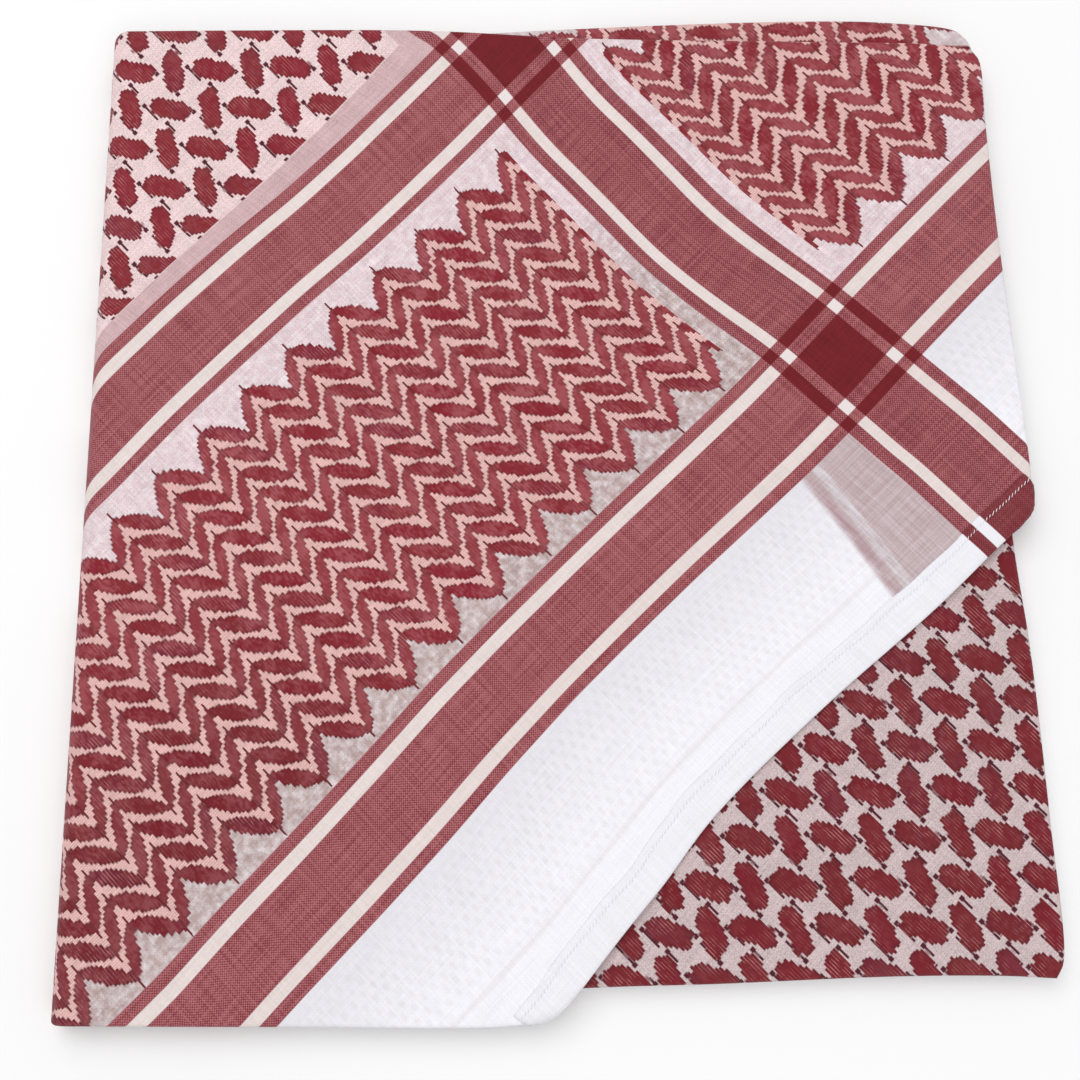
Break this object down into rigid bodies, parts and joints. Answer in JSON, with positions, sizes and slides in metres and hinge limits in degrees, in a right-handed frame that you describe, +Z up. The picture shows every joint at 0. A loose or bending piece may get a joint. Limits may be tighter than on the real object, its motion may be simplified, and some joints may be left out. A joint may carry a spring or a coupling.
{
  "type": "keffiyeh headscarf (shemagh), folded flat",
  "caption": "Red and white woven cotton keffiyeh folded into a flat square bundle, with stripe bands, herringbone and fishnet fields and a turned hem across it.",
  "frame": {"origin": "centre of the folded bundle's plan box, on the surface it rests on", "axes": "+X to the right of the bundle, +Y to its back fold, +Z up out of the top stretch"},
  "size_m": [0.3447, 0.3753, 0.0145],
  "materials": {
    "striped_cotton": "matte",
    "white_cotton": "matte",
    "fishnet_cotton": "matte"
  },
  "bodies": {
    "root": {"top_flap": "striped_cotton", "hem": "white_cotton", "second_layer": "fishnet_cotton", "folded_core": "fishnet_cotton", "underside": "fishnet_cotton"}
  },
  "joints": []
}
